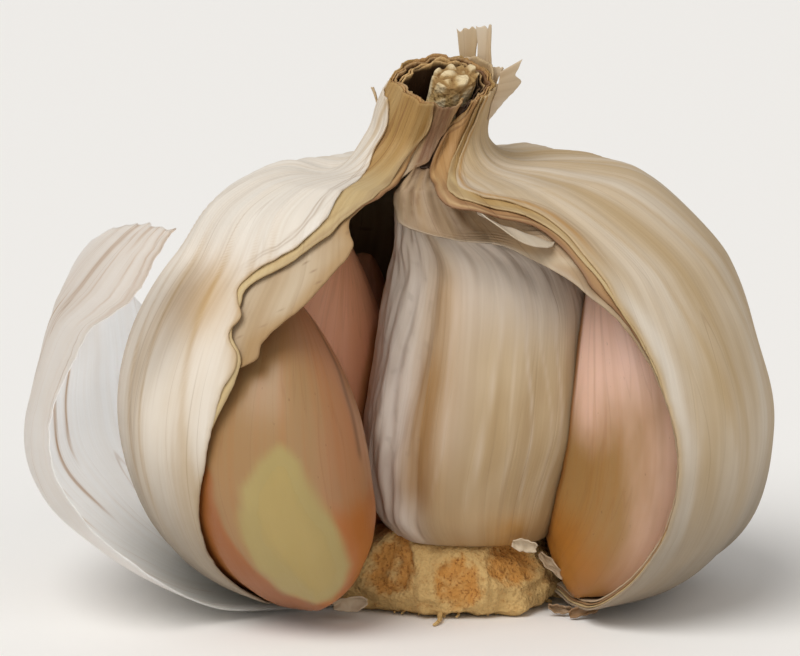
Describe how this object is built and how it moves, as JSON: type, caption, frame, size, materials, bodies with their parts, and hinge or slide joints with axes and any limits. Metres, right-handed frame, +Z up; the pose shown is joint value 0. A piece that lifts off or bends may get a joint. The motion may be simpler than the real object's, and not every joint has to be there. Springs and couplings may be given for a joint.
{
  "type": "garlic bulb",
  "caption": "Opened garlic bulb: cloves on a basal plate, wrapped by papery sheaths that rise into a short cut neck, with one loose outer skin.",
  "frame": {"origin": "on the small flat under the basal plate, below the bulb's middle", "axes": "+Z up along the bulb's axis, -Y towards the opened front, +X to the right when seen from the front"},
  "size_m": [0.0714, 0.0509, 0.0545],
  "materials": {
    "plate": "dry, corky, rough",
    "stalk": "dry, pithy, rough",
    "grey_sheath": "thin dry skin, satin",
    "clove_flesh": "moist flesh, satin",
    "clove_skin": "thin taut skin, satin",
    "inner_paper": "dry papery leaf, matt",
    "outer_paper": "dry papery leaf, matt",
    "loose_paper": "translucent dry skin, matt"
  },
  "bodies": {
    "root": {"basal_plate": "plate", "flower_stalk": "stalk", "clove_centre": "grey_sheath", "clove_left_flesh": "clove_flesh", "clove_left_skin": "clove_skin", "clove_left_rear": "clove_skin", "clove_right": "clove_skin", "clove_right_rear": "clove_skin", "clove_back_left": "clove_skin", "clove_back_right": "clove_skin", "inner_sheath": "inner_paper", "outer_sheath": "outer_paper", "loose_skin": "loose_paper"}
  },
  "joints": []
}
